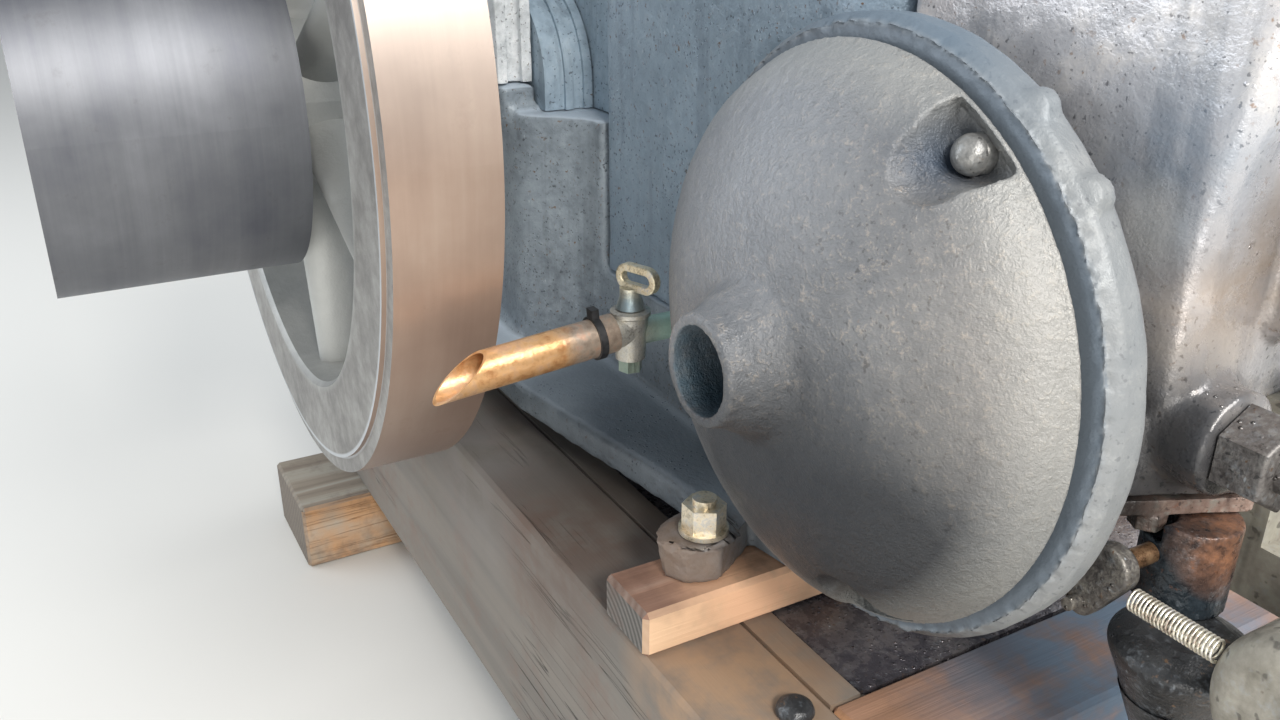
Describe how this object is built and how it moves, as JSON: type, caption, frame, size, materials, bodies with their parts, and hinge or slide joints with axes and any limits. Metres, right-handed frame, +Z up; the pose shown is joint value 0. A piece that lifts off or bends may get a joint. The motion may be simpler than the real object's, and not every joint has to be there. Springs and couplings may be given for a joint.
{
  "type": "stationary diesel engine",
  "caption": "Horizontal hopper-cooled stationary diesel engine on a timber skid, with spoked flywheels, a belt pulley, a cast muffler and a drain cock.",
  "frame": {"origin": "middle of the footprint, on the ground under the skid", "axes": "+X from the crankshaft towards the cylinder head, -Y the belt pulley and muffler side, +Z up"},
  "size_m": [0.92, 0.775, 0.6845],
  "materials": {
    "timber_rail": "weathered, oil-dark, rough sawn",
    "timber_block": "fresher orange-brown softwood, oily on top",
    "timber_sleeper": "orange-brown, rough",
    "timber_board": "brown, oil stained",
    "oiled_plate": "black, wet with oil",
    "bed_iron": "black to blue-grey, oily and rough",
    "cap_iron": "granular, dusty",
    "guard_steel": "smooth blue-grey",
    "hopper_iron": "black to blue-grey with oil sheen",
    "gasket_fibre": "dark compressed fibre",
    "muffler_iron": "sandy-rough grey with brown specks",
    "bolt_steel": "dull, rusty at the edges",
    "zinc_nut": "zinc-yellow plated",
    "cock_bronze": "dark oily bronze",
    "handle_brass": "worn brass",
    "spout_copper": "heat-tinted copper",
    "band_black": "black",
    "pump_iron": "rusty brown above, oil-black below",
    "lever_iron": "dark, worn bright at the edge",
    "pin_brass": "brownish brass",
    "spring_steel": "bright spring wire",
    "cream_paint": "worn cream paint",
    "shaft_steel": "turned steel",
    "wheel_iron": "polished tan-brown tread, grey faces",
    "pulley_steel": "smooth dark turned steel"
  },
  "bodies": {
    "frame": {"skid_near": "timber_rail", "skid_far": "timber_rail", "sleeper_rear": "timber_sleeper", "sleeper_front": "timber_sleeper", "battens": "timber_rail", "drip_plate": "oiled_plate", "cross_board": "timber_board", "packing_blocks": "timber_block", "engine_bed": "bed_iron", "foundation_bolts": "zinc_nut", "bearing_cap_near": "cap_iron", "bearing_cap_far": "cap_iron", "oil_cups": "handle_brass", "crank_guard": "guard_steel", "shaft_covers": "guard_steel", "cylinder_hopper": "hopper_iron", "head_gasket": "gasket_fibre", "cylinder_head": "hopper_iron", "head_nuts": "bolt_steel", "valve_cover": "guard_steel", "muffler_pot": "muffler_iron", "muffler_dish": "muffler_iron", "muffler_bolts": "bolt_steel", "drain_cock": "cock_bronze", "drain_spout": "spout_copper", "spout_band": "band_black", "fuel_pump": "pump_iron", "pump_flange": "pump_iron", "pump_bowl": "lever_iron", "lever_pivot": "pin_brass", "governor_spring": "spring_steel", "governor_housing": "cream_paint"},
    "crank": {"crankshaft": "shaft_steel", "flywheel_near": "wheel_iron", "flywheel_far": "wheel_iron", "belt_pulley": "pulley_steel"},
    "cock": {"cock_plug": "handle_brass"},
    "lever": {"control_lever": "lever_iron"}
  },
  "joints": [
    {"name": "crank_spin", "type": "hinge", "parent": "frame", "child": "crank", "pos_m": [-0.17, 0.0305, 0.4435], "axis": [0, 1, 0], "continuous": true},
    {"name": "cock_handle", "type": "hinge", "parent": "frame", "child": "cock", "pos_m": [0.087, -0.134, 0.352], "axis": [0, 0, 1], "range_deg": [0, 90]},
    {"name": "control_lever", "type": "hinge", "parent": "frame", "child": "lever", "pos_m": [0.3358, -0.0695, 0.335], "axis": [0, 1, 0], "range_deg": [-15, 0]}
  ]
}
